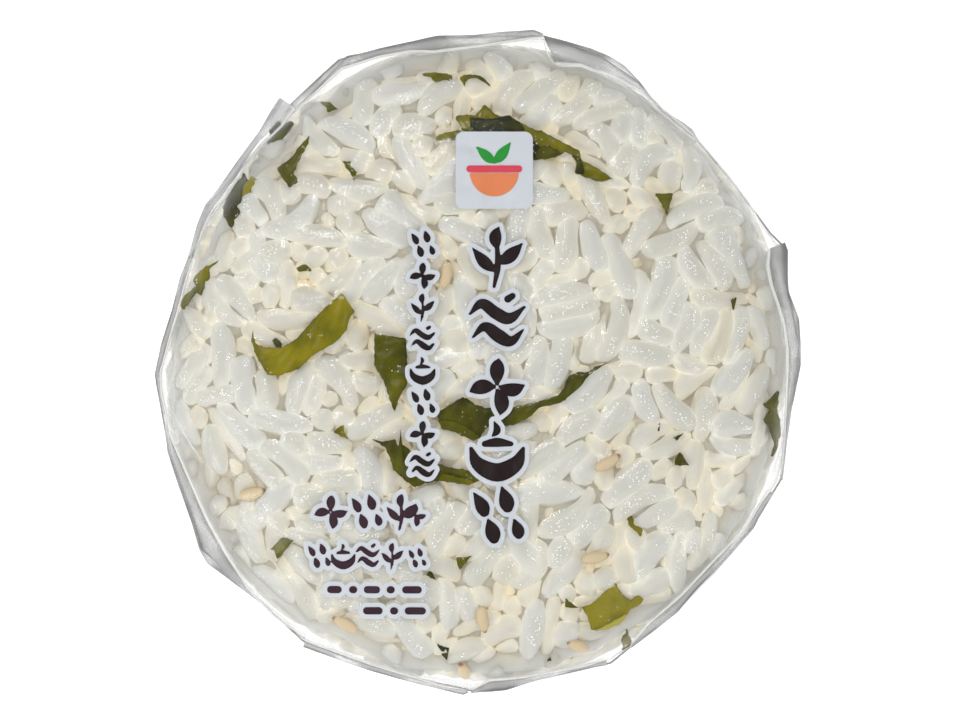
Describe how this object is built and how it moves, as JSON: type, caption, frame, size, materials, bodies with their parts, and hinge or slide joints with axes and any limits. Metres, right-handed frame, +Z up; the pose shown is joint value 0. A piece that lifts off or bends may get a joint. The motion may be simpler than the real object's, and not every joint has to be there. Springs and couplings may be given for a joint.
{
  "type": "wrapped rice ball",
  "caption": "Round flat rice ball with seaweed strips and sesame, wrapped tight in clear film with folded edges, lying on its flat foot.",
  "frame": {"origin": "middle of the box's base, on the flat foot that the ball rests on", "axes": "+Z up through the ball's thickness, with the shown face up; +Y towards the top of the shown face, +X to its right"},
  "size_m": [0.0798, 0.0814, 0.0298],
  "materials": {
    "rice": "glossy cooked short-grain rice, milky and slightly see-through",
    "wakame": "wet seaweed sheet, satin gloss",
    "sesame": "toasted seed, matte",
    "film": "thin clear film, glossy, creased at its folds",
    "print": "flat opaque print on the film"
  },
  "bodies": {
    "root": {"wrapped_rice": "rice", "wakame_top": "wakame", "wakame_left": "wakame", "wakame_middle": "wakame", "wakame_middle_right": "wakame", "wakame_middle_low": "wakame", "wakame_left_rim": "wakame", "wakame_upper_left_rim": "wakame", "wakame_upper_left": "wakame", "wakame_bottom_right": "wakame", "wakame_right_rim": "wakame", "wakame_bit_01": "wakame", "wakame_bit_02": "wakame", "wakame_bit_03": "wakame", "wakame_bit_04": "wakame", "wakame_bit_05": "wakame", "wakame_bit_06": "wakame", "wakame_bit_07": "wakame", "wakame_bit_08": "wakame", "wakame_bit_09": "wakame", "wakame_bit_10": "wakame", "wakame_bit_11": "wakame"}
  },
  "joints": []
}
